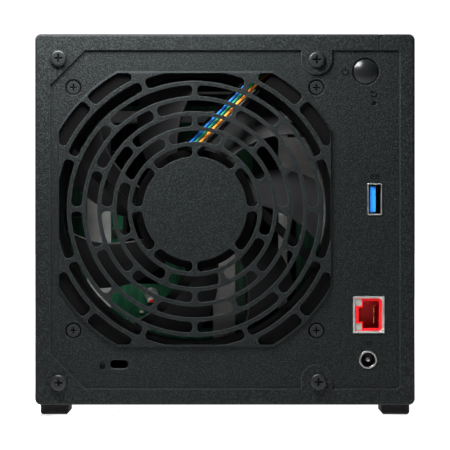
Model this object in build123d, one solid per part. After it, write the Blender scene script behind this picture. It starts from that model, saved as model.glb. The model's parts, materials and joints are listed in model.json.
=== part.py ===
from build123d import *
import math
import os

# Desktop network-storage enclosure with four vertical drive trays and a 120 mm exhaust fan.
# +Z is up, -Y is the front, +Y is the rear. The origin is under the feet, at the middle of the base.
# Millimetres.

# Overall size
WIDTH = 164.0
DEPTH = 218.0
HEIGHT = 165.0
FOOT_HEIGHT = 4.9
FOOT_X = 74.3
FOOT_Y = 84.0
FOOT_W = 12.4
SHEET = 1.0

HALF_WIDTH = WIDTH / 2
HALF_DEPTH = DEPTH / 2
BASE_Z = FOOT_HEIGHT
TOP_Z = HEIGHT
MID_Z = (BASE_Z + TOP_Z) / 2

# Shell
CORNER_RADIUS = 2.6
REAR_BEND = 1.2
SEAM_X = -66.6
SEAM_GAP = 0.35
BEZEL_DEPTH = 12.0
BEZEL_BACK_Y = -HALF_DEPTH + BEZEL_DEPTH
SCREW_HEAD_HEIGHT = 2.0
FLANGE_Y = HALF_DEPTH - SCREW_HEAD_HEIGHT
PANEL_Y1 = FLANGE_Y - SHEET
PANEL_Y0 = PANEL_Y1 - SHEET

# Opening in the rear flange
OPENING_X = 75.55
OPENING_Z0 = 11.8
OPENING_Z1 = 158.1
OPENING_CHAMFER = 15.2
TAB_X = -39.6
TAB_RADIUS = 6.65
TAB_TOP_CENTRE_Z = 154.2
TAB_BOTTOM_CENTRE_Z = 15.7
COVER_SCREWS = ((71.8, 154.5), (71.8, 14.5), (-39.6, 153.9), (-40.3, 14.9))
COVER_SCREW_HEAD_R = 3.55
COVER_SCREW_SHANK_R = 1.7

# Grille and fan
FAN_X = 13.0
FAN_Z = 89.5
FAN_SIZE = 120.0
FAN_DEPTH = 25.0
FAN_BOLT = 52.5
FAN_Y1 = PANEL_Y0
FAN_Y0 = FAN_Y1 - FAN_DEPTH
DUCT_R = 57.6
GRILLE_HEIGHT = 1.1
GRILLE_FLAT = 59.4
GRILLE_R = 68.3
SLOT_WIDTH = 4.8
SLOT_PITCH = 6.55
SLOT_FIRST_R = 22.5
SLOT_RINGS = 7
LAST_SLOT_EXTRA = 2.0
SLOT_END_R = 2.0
SPOKE = 2.0
HUB_BASE_R = 23.0
ROTOR_R = 20.5
BLADE_COUNT = 7
BLADE_TIP_R = 56.2
SHAFT_R = 1.5
RUNNING = 0.05
STRUT_START = (2.0, 25.4)
STRUT_END = (-29.0, 57.8)
STRUT_T = 4.6
WIRE_R = 0.68
WIRE_Y = 103.9
WIRE_CHANNEL = 6.6

# Ports and buttons on the rear
POWER_XZ = (-60.8, 148.9)
RESET_XZ = (-64.4, 135.2)
USB_XZ = (-64.7, 93.7)
LAN_XZ = (-62.0, 43.85)
DC_XZ = (-61.8, 24.4)
LOCK_XZ = (45.7, 22.4)
LOCK_SLOT = (7.5, 3.5)
POWER_CAP_R = 5.25
PLUNGER_TIP_Y = PANEL_Y0 - 7.4
POWER_TRAVEL = 1.5
RESET_TRAVEL = 0.8

# Mainboard: a vertical board beside the drive cage, parts facing the drives
BOARD_X1 = -68.8
BOARD_T = 1.6
BOARD_X0 = BOARD_X1 - BOARD_T
BOARD_Z0 = 12.0
BOARD_Z1 = 156.0

# Drive cage
BAY_COUNT = 4
BAY_PITCH = 30.0
BAY_FIRST_X = -31.0
CAGE_X0 = BAY_FIRST_X - BAY_PITCH / 2 - 0.2
CAGE_X1 = BAY_FIRST_X + BAY_PITCH * (BAY_COUNT - 0.5) + 0.2
CAGE_FLOOR_Z = 23.0
CAGE_ROOF_Z = 143.0
CAGE_BACK_Y = 52.0
GUIDE = 2.0
GUIDE_RIB = 8.0
GUIDE_RIB_T = 1.2
POST_DEPTH = 3.0

# Drive tray (3.5 inch drive, standing on edge)
FACE_W = 29.4
FACE_Z0 = 24.0
FACE_Z1 = 142.0
FACE_Y0 = -107.0
FACE_Y1 = -98.0
TRAY_BACK_Y = 47.0
TRAY_PLATE = 1.8
TRAY_WALL = 2.0
TRAY_W = 28.0
TRAY_Z0 = CAGE_FLOOR_Z + SHEET + GUIDE + 0.4
TRAY_Z1 = CAGE_ROOF_Z - SHEET - GUIDE - 0.4
DRIVE_BOLT_Y = 44.45
DRIVE_BOLT_Z = 95.25
DRIVE_MID_Z = 83.0
DRIVE_BOLT_MID_Y = 5.0
DRIVE_HOLE_R = 1.9

# Tray lever: hangs from a pin at its top end, and its lower end swings out
LEVER_W = 20.0
LEVER_Z0 = 33.0
LEVER_T = 3.8
LEVER_FRONT_Y = -108.3
LEVER_BARREL_R = 2.6
LEVER_PIVOT_Y = LEVER_FRONT_Y + LEVER_BARREL_R
LEVER_PIVOT_Z = 135.0
PIN_R = 1.5
PIN_HALF = 12.5
POCKET_W = 21.0
POCKET_Z0 = 28.0
POCKET_Z1 = 138.2
POCKET_Y = -102.6
SCOOP_Z1 = 46.0
VENT_ROWS = 10
VENT_Z = 54.0
VENT_PITCH = 7.6

# Front panel features on the left strip
STRIP_X = -64.0
LED_Z = (150.0, 141.0, 132.0, 123.0, 114.0, 105.0)
LED_R = 1.3
FRONT_USB_Z = 76.0
BACKUP_Z = 48.0
BACKUP_R = 5.0
BACKUP_TRAVEL = 1.2


def block(x0, x1, y0, y1, z0, z1):
    """Box between two corners."""
    return Pos((x0 + x1) / 2, (y0 + y1) / 2, (z0 + z1) / 2) * Box(x1 - x0, y1 - y0, z1 - z0)


def rod(radius, x, z, y0, y1):
    """Cylinder along Y."""
    return Pos(x, (y0 + y1) / 2, z) * Rot(90, 0, 0) * Cylinder(radius, y1 - y0)


def rod_x(radius, y, z, x0, x1):
    """Cylinder along X."""
    return Pos((x0 + x1) / 2, y, z) * Rot(0, 90, 0) * Cylinder(radius, x1 - x0)


def slab(outline, y0, y1):
    """Extrude an outline drawn in X and Z from y0 to y1."""
    return Pos(0, y1, 0) * Rot(90, 0, 0) * extrude(outline, y1 - y0)


def plate(x, z, width, height, radius=0.0):
    """Rectangle outline in X and Z, with rounded corners."""
    shape = RectangleRounded(width, height, radius) if radius else Rectangle(width, height)
    return Pos(x, z) * shape


def cone(x, z, y0, y1, r0, r1):
    """Cone along Y with radius r0 at y0 and r1 at y1."""
    return Pos(x, (y0 + y1) / 2, z) * Rot(-90, 0, 0) * Cone(r0, r1, y1 - y0)


def phillips(x, z, y1, span, depth):
    """Cross recess cut from the face at y1."""
    arm = span / 4.2
    cross = block(x - span / 2, x + span / 2, y1 - depth, y1 + 1, z - arm / 2, z + arm / 2)
    cross += block(x - arm / 2, x + arm / 2, y1 - depth, y1 + 1, z - span / 2, z + span / 2)
    return cross


def save(name, *solids):
    """Write one node from its solids."""
    pieces = [solid for shape in solids for solid in shape.solids()]
    export_step(Compound(children=[Solid(piece.wrapped) for piece in pieces]), f"parts/{name}.step")
    print(name, len(pieces), round(sum(piece.volume for piece in pieces)))


# Outer shell


def opening_outline():
    """The opening in the rear flange: chamfered beside the fan, with two screw tabs left in it."""
    middle_z = (OPENING_Z0 + OPENING_Z1) / 2
    shape = Pos(0, middle_z) * Rectangle(2 * OPENING_X, OPENING_Z1 - OPENING_Z0)
    fan_side = shape.vertices().filter_by_position(Axis.X, 0, HALF_WIDTH)
    shape = chamfer(fan_side, OPENING_CHAMFER)
    port_side = shape.vertices().filter_by_position(Axis.X, -HALF_WIDTH, 0)
    shape = fillet(port_side, 1.8)
    for centre_z, root_z in ((TAB_TOP_CENTRE_Z, OPENING_Z1 + 2), (TAB_BOTTOM_CENTRE_Z, OPENING_Z0 - 2)):
        tab = Pos(TAB_X, centre_z) * Circle(TAB_RADIUS)
        tab += plate(TAB_X, (centre_z + root_z) / 2, 2 * TAB_RADIUS, abs(root_z - centre_z))
        shape -= tab
    return shape


def shell_body():
    """Folded sheet shell: four sides and the rear flange, open at the front."""
    height = TOP_Z - BASE_Z
    outer = slab(plate(0, MID_Z, WIDTH, height, CORNER_RADIUS), BEZEL_BACK_Y, FLANGE_Y)
    outer = fillet(outer.faces().sort_by(Axis.Y)[-1].edges(), REAR_BEND)
    inner_outline = plate(0, MID_Z, WIDTH - 2 * SHEET, height - 2 * SHEET, CORNER_RADIUS - SHEET)
    shell = outer - slab(inner_outline, BEZEL_BACK_Y - 1, PANEL_Y1)
    return shell - slab(opening_outline(), PANEL_Y0, FLANGE_Y + 1)


def outer_cover():
    shell = shell_body() - block(-HALF_WIDTH - 1, SEAM_X + SEAM_GAP / 2, -200, 200, -1, HEIGHT + 1)
    for x, z in COVER_SCREWS:
        shell -= rod(COVER_SCREW_SHANK_R + 0.15, x, z, PANEL_Y0, FLANGE_Y + 1)
    return shell


def side_panel():
    shell = shell_body() - block(SEAM_X - SEAM_GAP / 2, HALF_WIDTH + 1, -200, 200, -1, HEIGHT + 1)
    notch = block(SEAM_X - 2.0, SEAM_X, FLANGE_Y - 2.0, FLANGE_Y + 1, TOP_Z - 1.2, TOP_Z + 1)
    return shell - notch


def grille_slots():
    """Ring slots about the fan axis, cut off at the flats of the raised area."""
    flat = GRILLE_FLAT - 0.7
    clip = Rectangle(2 * flat, 2 * flat) & Circle(GRILLE_R - 0.7)
    slots = []
    for ring in range(SLOT_RINGS):
        inner = SLOT_FIRST_R + ring * SLOT_PITCH
        outer = inner + SLOT_WIDTH + (LAST_SLOT_EXTRA if ring == SLOT_RINGS - 1 else 0.0)
        band = (Circle(outer) - Circle(inner)) & clip
        offset = 22.5 if ring % 2 else 0.0
        for arm in range(8):
            band -= Rot(0, 0, offset + 45 * arm) * Pos(50, 0) * Rectangle(100, SPOKE)
        band = fillet(band.vertices(), SLOT_END_R)
        slots.append(Pos(FAN_X, FAN_Z) * band)
    return slots


def rear_panel():
    panel = slab(plate(0, MID_Z, WIDTH - 2 * SHEET - 0.4, TOP_Z - BASE_Z - 2 * SHEET - 0.4, 1.4), PANEL_Y0, PANEL_Y1)
    raised = Rectangle(2 * GRILLE_FLAT, 2 * GRILLE_FLAT) & Circle(GRILLE_R)
    hollow = Rectangle(2 * GRILLE_FLAT - 1.4, 2 * GRILLE_FLAT - 1.4) & Circle(GRILLE_R - 0.7)
    raise_up = extrude(Pos(FAN_X, FAN_Z) * raised, -GRILLE_HEIGHT, taper=30)
    panel += Pos(0, PANEL_Y1, 0) * Rot(90, 0, 0) * raise_up
    panel -= slab(Pos(FAN_X, FAN_Z) * hollow, PANEL_Y0 - 1, PANEL_Y0 + GRILLE_HEIGHT)
    for slot in grille_slots():
        panel -= slab(slot, PANEL_Y0, PANEL_Y1 + GRILLE_HEIGHT + 1)
    for sx in (-1, 1):
        for sz in (-1, 1):
            x = FAN_X + sx * FAN_BOLT
            z = FAN_Z + sz * FAN_BOLT
            panel -= rod(2.3, x, z, PANEL_Y0 - 1, PANEL_Y1 + 1)
            panel -= cone(x, z, PANEL_Y0 + 0.3, PANEL_Y1 + 0.001, 2.3, 3.75)
    for x, z in COVER_SCREWS:
        panel -= rod(COVER_SCREW_SHANK_R + 0.05, x, z, PANEL_Y0 - 1, PANEL_Y1 + 1)
    panel -= rod(POWER_CAP_R + 0.35, *POWER_XZ, PANEL_Y0 - 1, PANEL_Y1 + 1)
    panel -= cone(*POWER_XZ, PANEL_Y1 - 0.5, PANEL_Y1 + 0.001, POWER_CAP_R + 0.35, POWER_CAP_R + 0.75)
    panel -= rod(1.0, *RESET_XZ, PANEL_Y0 - 1, PANEL_Y1 + 1)
    panel -= slab(plate(*USB_XZ, 6.6, 14.0, 0.6), PANEL_Y0 - 1, PANEL_Y1 + 1)
    panel -= slab(plate(*LAN_XZ, 14.2, 16.9, 0.6), PANEL_Y0 - 1, PANEL_Y1 + 1)
    panel -= rod(4.1, *DC_XZ, PANEL_Y0 - 1, PANEL_Y1 + 1)
    slot_w, slot_h = LOCK_SLOT
    panel -= slab(plate(*LOCK_XZ, slot_w, slot_h, 1.5), PANEL_Y0 - 1, PANEL_Y1 + 1)
    lock_bevel = extrude(plate(*LOCK_XZ, slot_w + 0.9, slot_h + 0.9, 1.9), 0.5, taper=42)
    panel -= Pos(0, PANEL_Y1, 0) * Rot(90, 0, 0) * lock_bevel
    return panel


def cover_screws():
    screws = []
    for x, z in COVER_SCREWS:
        head = rod(COVER_SCREW_HEAD_R, x, z, FLANGE_Y, HALF_DEPTH)
        head = fillet(head.edges().sort_by(Axis.Y)[-1], 1.1)
        screw = head + rod(COVER_SCREW_SHANK_R, x, z, FLANGE_Y - 6, FLANGE_Y)
        screws.append(screw - phillips(x, z, HALF_DEPTH, 3.6, 1.3))
    return screws


def fan_screws():
    screws = []
    for sx in (-1, 1):
        for sz in (-1, 1):
            x = FAN_X + sx * FAN_BOLT
            z = FAN_Z + sz * FAN_BOLT
            screw = cone(x, z, PANEL_Y0 + 0.32, PANEL_Y0 + 0.58, 2.2, 2.75)
            screw += rod(2.75, x, z, PANEL_Y0 + 0.58, PANEL_Y0 + 0.85)
            screw += rod(1.9, x, z, PANEL_Y0 - 9, PANEL_Y0 + 0.32)
            screws.append(screw - phillips(x, z, PANEL_Y0 + 0.85, 3.0, 1.0))
    return screws


def rubber_feet():
    feet = []
    for sx in (-1, 1):
        for y in (-FOOT_Y, FOOT_Y):
            x = sx * FOOT_X
            foot = block(x - FOOT_W / 2, x + FOOT_W / 2, y - 12, y + 12, 0, FOOT_HEIGHT)
            foot = chamfer(foot.faces().sort_by(Axis.Z)[0].edges(), 0.9)
            foot = fillet(foot.edges().filter_by(Axis.Z), 1.5)
            feet.append(foot)
    return feet


# Front bezel and what it holds


def front_bezel():
    bezel = slab(plate(0, MID_Z, WIDTH, TOP_Z - BASE_Z, CORNER_RADIUS), -HALF_DEPTH, BEZEL_BACK_Y)
    bezel = fillet(bezel.faces().sort_by(Axis.Y)[0].edges(), 2.0)
    bay_mid_x = (CAGE_X0 + CAGE_X1) / 2
    bay_w = CAGE_X1 - CAGE_X0
    bay_mid_z = (FACE_Z0 + FACE_Z1) / 2
    bay_h = FACE_Z1 - FACE_Z0 + 1.0
    bezel -= slab(plate(bay_mid_x, bay_mid_z, bay_w, bay_h, 0.8), -HALF_DEPTH - 1, BEZEL_BACK_Y + 1)
    lead_in = extrude(plate(bay_mid_x, bay_mid_z, bay_w + 2.4, bay_h + 2.4, 1.6), 1.2, taper=44)
    bezel -= Pos(0, -HALF_DEPTH, 0) * Rot(90, 0, 0) * mirror(lead_in, Plane.XY)
    strip_x0 = -HALF_WIDTH + 6.0
    strip_x1 = CAGE_X0 - 6.0
    strip_mid = (strip_x0 + strip_x1) / 2
    inset = plate(strip_mid, bay_mid_z, strip_x1 - strip_x0, bay_h + 2.4, 3.0)
    bezel -= slab(inset, -HALF_DEPTH - 1, -HALF_DEPTH + 0.8)
    hollow = plate(0, MID_Z, WIDTH - 6, TOP_Z - BASE_Z - 6, 1.5)
    hollow -= plate(bay_mid_x, bay_mid_z, bay_w + 4, bay_h + 4)
    hollow -= plate(STRIP_X, 90, 16, 134)
    bezel -= slab(hollow, BEZEL_BACK_Y - 8, BEZEL_BACK_Y + 1)
    for z in LED_Z:
        bezel -= rod(LED_R, STRIP_X, z, -HALF_DEPTH - 1, BEZEL_BACK_Y + 1)
    bezel -= slab(plate(STRIP_X, FRONT_USB_Z, 6.6, 14.0, 0.6), -HALF_DEPTH - 1, BEZEL_BACK_Y + 1)
    bezel -= rod(BACKUP_R + 0.4, STRIP_X, BACKUP_Z, -HALF_DEPTH - 1, BEZEL_BACK_Y + 1)
    bezel -= rod(BACKUP_R + 1.6, STRIP_X, BACKUP_Z, BEZEL_BACK_Y - 6.5, BEZEL_BACK_Y + 1)
    return bezel


def led_light_pipes():
    pipes = []
    for z in LED_Z:
        pipe = rod(LED_R - 0.1, STRIP_X, z, -HALF_DEPTH + 0.5, BEZEL_BACK_Y + 2)
        pipe += rod(LED_R + 0.7, STRIP_X, z, BEZEL_BACK_Y, BEZEL_BACK_Y + 3.0)
        pipes.append(pipe)
    return pipes


def backup_button():
    cap = rod(BACKUP_R, STRIP_X, BACKUP_Z, -HALF_DEPTH + 0.2, BEZEL_BACK_Y - 3)
    cap = fillet(cap.edges().sort_by(Axis.Y)[0], 0.9)
    cap += rod(BACKUP_R + 1.1, STRIP_X, BACKUP_Z, BEZEL_BACK_Y - 6.1, BEZEL_BACK_Y - 4.6)
    return cap + rod(1.6, STRIP_X, BACKUP_Z, BEZEL_BACK_Y - 3, BEZEL_BACK_Y + 1.5)


def power_button():
    x, z = POWER_XZ
    rim_y = PANEL_Y1 - 0.1
    cap = rod(POWER_CAP_R, x, z, PANEL_Y0 - 3, rim_y)
    dome_height = 1.6
    dome_r = (POWER_CAP_R**2 + dome_height**2) / (2 * dome_height)
    dome = Pos(x, rim_y + dome_height - dome_r, z) * Sphere(dome_r)
    cap += dome & rod(POWER_CAP_R, x, z, rim_y, PANEL_Y1 + 3)
    cap += rod(6.6, x, z, PANEL_Y0 - 1.6, PANEL_Y0 - 0.35)
    return cap + rod(1.7, x, z, PLUNGER_TIP_Y, PANEL_Y0 - 3)


def reset_button():
    x, z = RESET_XZ
    return rod(1.5, x, z, PLUNGER_TIP_Y, PANEL_Y0 - 3.0)


# Boards


def mainboard():
    board = block(BOARD_X0, BOARD_X1, -58, 104, BOARD_Z0, BOARD_Z1)
    board -= block(BOARD_X0 - 1, BOARD_X1 + 1, 90, 105, 110, BOARD_Z1 + 1)
    for y, z in BOARD_HOLES:
        board -= rod_x(1.7, y, z, BOARD_X0 - 1, BOARD_X1 + 1)
    return board


BOARD_HOLES = ((-54, 17), (-54, 151), (84, 17), (84, 151))
SWITCH_BOARD_Y = 92.0
FRONT_BOARD_Y = -82.0
USB_BACK_Y = 88.0


def switch_board():
    return block(-77, -54.5, SWITCH_BOARD_Y, SWITCH_BOARD_Y + BOARD_T, 127, 157)


def front_io_board():
    return block(-77, -51, FRONT_BOARD_Y, FRONT_BOARD_Y + BOARD_T, 30, 156)


def tact_switches():
    """Three small switches: behind the power button, the reset plunger and the backup button."""
    switches = []
    spots = (
        (*POWER_XZ, SWITCH_BOARD_Y + BOARD_T, PLUNGER_TIP_Y - POWER_TRAVEL - 0.1),
        (*RESET_XZ, SWITCH_BOARD_Y + BOARD_T, PLUNGER_TIP_Y - RESET_TRAVEL - 0.1),
    )
    for x, z, y0, y1 in spots:
        body = block(x - 3, x + 3, y0, y1 - 0.5, z - 3, z + 3)
        switches.append(body + rod(1.6, x, z, y1 - 0.5, y1))
    back = FRONT_BOARD_Y
    tip = BEZEL_BACK_Y + 1.5 + BACKUP_TRAVEL + 0.1
    body = block(STRIP_X - 3, STRIP_X + 3, tip + 3.0, back, BACKUP_Z - 3, BACKUP_Z + 3)
    switches.append(body + rod(1.6, STRIP_X, BACKUP_Z, tip, tip + 3.0))
    return switches


def board_standoffs():
    posts = []
    for y, z in BOARD_HOLES:
        post = rod_x(3.0, y, z, -HALF_WIDTH + SHEET, BOARD_X0)
        posts.append(post - rod_x(1.25, y, z, BOARD_X0 - 7, BOARD_X0 + 1))
    return posts


def board_screws():
    screws = []
    for y, z in BOARD_HOLES:
        head = rod_x(2.7, y, z, BOARD_X1, BOARD_X1 + 1.8)
        head = fillet(head.edges().sort_by(Axis.X)[-1], 0.6)
        screws.append(head + rod_x(1.2, y, z, BOARD_X0 - 5, BOARD_X1))
    return screws


def mainboard_chips():
    spots = (
        (20, 52, 14, 14, 2.4),
        (-20, 60, 12, 9, 1.2),
        (-20, 74, 12, 9, 1.2),
        (-20, 88, 12, 9, 1.2),
        (-20, 102, 12, 9, 1.2),
        (70, 62, 9, 9, 1.0),
        (62, 118, 10, 10, 1.0),
        (-40, 40, 8, 6, 1.0),
    )
    return [
        block(BOARD_X1, BOARD_X1 + t, y - w / 2, y + w / 2, z - h / 2, z + h / 2)
        for y, z, w, h, t in spots
    ]


HEATSINK_Y = 15.0
HEATSINK_Z = 96.0
HEATSINK_SIZE = 36.0


def heatsink():
    half = HEATSINK_SIZE / 2
    y0, y1 = HEATSINK_Y - half, HEATSINK_Y + half
    base = block(BOARD_X1 + 2, BOARD_X1 + 5, y0, y1, HEATSINK_Z - half, HEATSINK_Z + half)
    base += block(BOARD_X1, BOARD_X1 + 2, HEATSINK_Y - 8, HEATSINK_Y + 8, HEATSINK_Z - 8, HEATSINK_Z + 8)
    fins = 9
    for index in range(fins):
        z = HEATSINK_Z - half + 0.7 + index * (HEATSINK_SIZE - 1.4) / (fins - 1)
        base += block(BOARD_X1 + 5, BOARD_X1 + 15, y0, y1, z - 0.7, z + 0.7)
    return base


def capacitors():
    cans = []
    spots = ((80, 34, 3.15, 9), (80, 42, 3.15, 9), (72, 30, 4, 11), (40, 30, 3.15, 9), (30, 30, 3.15, 9))
    for y, z, radius, height in spots:
        can = rod_x(radius, y, z, BOARD_X1, BOARD_X1 + height)
        cans.append(fillet(can.edges().sort_by(Axis.X)[-1], 0.5))
    return cans


def coin_cell():
    return rod_x(10.0, -38, 130, BOARD_X1 + 2.0, BOARD_X1 + 5.2)


def lan_shield():
    x, z = LAN_XZ
    shield = block(BOARD_X1, x + 6.68, 84, PANEL_Y1 + 0.4, z - 7.95, z + 7.95)
    return shield - block(BOARD_X1 + 0.45, x + 6.23, 84.5, PANEL_Y1 + 1, z - 7.5, z + 7.5)


def lan_insert():
    x, z = LAN_XZ
    insert = block(BOARD_X1 + 0.45, x + 6.23, 84.5, PANEL_Y1, z - 7.5, z + 7.5)
    cavity = block(x - 4.6, x + 2.4, 92, PANEL_Y1 + 1, z - 5.95, z + 5.95)
    cavity += block(x + 2.3, x + 4.2, 92, PANEL_Y1 + 1, z - 3.1, z + 3.1)
    insert -= cavity
    for sz in (-1, 1):
        insert -= block(x + 2.9, x + 5.7, 96, PANEL_Y1 + 1, z + sz * 5.3 - 1.5, z + sz * 5.3 + 1.5)
    return insert


def lan_contacts():
    """Eight spring contacts that slant through the cavity."""
    x, z = LAN_XZ
    contacts = []
    for index in range(8):
        wire_z = z + (index - 3.5) * 1.02
        wire = Pos(x - 3.3, 98.6, wire_z) * Rot(0, 0, 80) * Box(10.5, 0.35, 0.45)
        contacts.append(wire)
    return contacts


def lan_leds():
    x, z = LAN_XZ
    return [
        block(x + 2.9, x + 5.7, 96, PANEL_Y1 - 0.3, z + sz * 5.3 - 1.5, z + sz * 5.3 + 1.5) for sz in (-1, 1)
    ]


def usb_shell(x, z, mouth_y, back_y):
    """Socket shell with its mouth at mouth_y."""
    outward = 1 if mouth_y > back_y else -1
    shell = slab(plate(x, z, 6.2, 13.6, 0.5), min(mouth_y, back_y), max(mouth_y, back_y))
    inner_y = sorted((back_y + 0.5 * outward, mouth_y + outward))
    return shell - slab(plate(x, z, 5.4, 12.8), *inner_y)


def usb_shells():
    rear = usb_shell(*USB_XZ, PANEL_Y1 + 0.4, USB_BACK_Y)
    front = usb_shell(STRIP_X, FRONT_USB_Z, -HALF_DEPTH + 0.9, FRONT_BOARD_Y)
    return rear, front


def usb_tongues():
    x, z = USB_XZ
    rear = block(x - 0.4, x + 2.1, USB_BACK_Y + 0.5, PANEL_Y1 - 0.8, z - 5.5, z + 5.5)
    y1 = FRONT_BOARD_Y - 0.5
    front = block(STRIP_X + 0.3, STRIP_X + 2.1, -HALF_DEPTH + 2.5, y1, FRONT_USB_Z - 5.5, FRONT_USB_Z + 5.5)
    return rear, front


def dc_jack_body():
    x, z = DC_XZ
    body = block(BOARD_X1, x + 6.0, 90, PANEL_Y0, z - 6, z + 6)
    return body - rod(3.95, x, z, 93, PANEL_Y0 + 1)


def dc_jack_sleeve():
    x, z = DC_XZ
    sleeve = rod(3.95, x, z, 93, PANEL_Y1 + 0.35) - rod(3.05, x, z, 92, PANEL_Y1 + 1)
    rim = sleeve.edges().filter_by(GeomType.CIRCLE).sort_by(Axis.Y)[-2:]
    return fillet(rim, 0.3)


def dc_jack_pin():
    x, z = DC_XZ
    pin = rod(1.05, x, z, 93, PANEL_Y1 - 0.6)
    return fillet(pin.edges().sort_by(Axis.Y)[-1], 0.6)


# Chassis


def base_pan():
    pan = block(-64, 79, BEZEL_BACK_Y + 0.5, PANEL_Y0 - 0.2, BASE_Z + SHEET + 0.2, BASE_Z + 2 * SHEET + 0.2)
    return pan + block(-64, 79, PANEL_Y0 - 1.2, PANEL_Y0 - 0.2, BASE_Z + 2 * SHEET, BASE_Z + 6)


def cage_side_walls():
    z0 = BASE_Z + 2 * SHEET + 0.2
    left = block(CAGE_X0 - SHEET, CAGE_X0, BEZEL_BACK_Y, CAGE_BACK_Y, z0, CAGE_ROOF_Z)
    right = block(CAGE_X1, CAGE_X1 + SHEET, BEZEL_BACK_Y, CAGE_BACK_Y, z0, CAGE_ROOF_Z)
    left += block(CAGE_X0 - 6, CAGE_X0, BEZEL_BACK_Y, CAGE_BACK_Y, z0, z0 + SHEET)
    right += block(CAGE_X1, CAGE_X1 + 5, BEZEL_BACK_Y, CAGE_BACK_Y, z0, z0 + SHEET)
    return left, right


def cage_shelves():
    """Cage floor and roof, with air slots."""
    floor = block(CAGE_X0, CAGE_X1, BEZEL_BACK_Y, CAGE_BACK_Y, CAGE_FLOOR_Z, CAGE_FLOOR_Z + SHEET)
    roof = block(CAGE_X0, CAGE_X1, BEZEL_BACK_Y, CAGE_BACK_Y, CAGE_ROOF_Z - SHEET, CAGE_ROOF_Z)
    return floor, roof


def tray_guides():
    """Lower and upper plastic guides: a base, ribs between the trays, and posts behind the tray gaps."""
    y0 = BEZEL_BACK_Y + 1
    y1 = CAGE_BACK_Y - 3
    floor_z = CAGE_FLOOR_Z + SHEET
    roof_z = CAGE_ROOF_Z - SHEET
    lower = block(CAGE_X0, CAGE_X1, y0, y1, floor_z, floor_z + GUIDE)
    upper = block(CAGE_X0, CAGE_X1, y0, y1, roof_z - GUIDE, roof_z)
    for index in range(1, BAY_COUNT):
        x = BAY_FIRST_X + BAY_PITCH * (index - 0.5)
        x0, x1 = x - GUIDE_RIB_T / 2, x + GUIDE_RIB_T / 2
        lower += block(x0, x1, y0, y1, floor_z, floor_z + GUIDE_RIB)
        upper += block(x0, x1, y0, y1, roof_z - GUIDE_RIB, roof_z)
        lower += block(x0, x1, y0, y0 + POST_DEPTH, floor_z, roof_z - GUIDE_RIB - 0.1)
    return lower, upper


BACKPLANE_Y0 = 58.0
BRACKET_Y0 = 60.6
# Windows as (x0, x1, z0, z1)
BACKPLANE_WINDOWS = (
    (-32, -12.5, 36, 130),
    (-3, 12, 36, 130),
    (27, 46, 56, 128),
    (45, 53, 100, 128),
    (57, 65, 97, 130),
)
BRACKET_WINDOWS = (
    (5.4, 51.3, 30, 128.7),
    (-24, -4.5, 30, 128.7),
    (-43, -28, 30, 101),
    (-43, -28, 122, 128.7),
)
BRACKET_SPACERS = ((55, 40), (55, 90), (-44.5, 40), (-44.5, 120))


def backplane_board():
    board = block(-60, 69.5, BACKPLANE_Y0, BACKPLANE_Y0 + BOARD_T, 30, 136)
    ear_notches = ((-48, -44.9, 25, 34.3), (-48, -44.9, 128.4, 134.1))
    for x0, x1, z0, z1 in BACKPLANE_WINDOWS + ear_notches:
        board -= block(x0, x1, BACKPLANE_Y0 - 1, BACKPLANE_Y0 + 3, z0, z1)
    return board


def backplane_bracket():
    """Bright steel frame behind the board, with windows for the air and ears against the cage walls."""
    y1 = BRACKET_Y0 + SHEET
    bracket = block(-46, 62, BRACKET_Y0, y1, 26, 133.8)
    for x0, x1, z0, z1 in BRACKET_WINDOWS:
        bracket -= block(x0, x1, BRACKET_Y0 - 1, y1 + 1, z0, z1)
    for z0, z1 in ((26, 34), (128.7, 133.8)):
        bracket += block(61, CAGE_X1, BRACKET_Y0, y1, z0, z1)
        bracket += block(CAGE_X1 - SHEET, CAGE_X1, CAGE_BACK_Y - 3.5, y1, z0, z1)
        bracket += block(CAGE_X0, CAGE_X0 + SHEET, CAGE_BACK_Y - 3.5, y1, z0, z1)
    for x, z in BRACKET_SPACERS:
        bracket += rod(1.4, x, z, BACKPLANE_Y0 + BOARD_T, BRACKET_Y0)
    return bracket


def sata_sockets():
    sockets = []
    for index in range(BAY_COUNT):
        x = BAY_FIRST_X + BAY_PITCH * index - 8
        socket = block(x - 2.9, x + 2.9, 50, BACKPLANE_Y0, 41.5, 83.5)
        for z0, z1 in ((43.5, 54.5), (57, 78)):
            socket -= block(x - 1.3, x + 1.3, 49, 56, z0, z1)
        sockets.append(socket)
    return sockets


# Trays and levers


def vent_outline(x, z):
    return plate(x, z, 13.0, 3.4, 1.6)


def bay_x(index):
    return BAY_FIRST_X + BAY_PITCH * index


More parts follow.
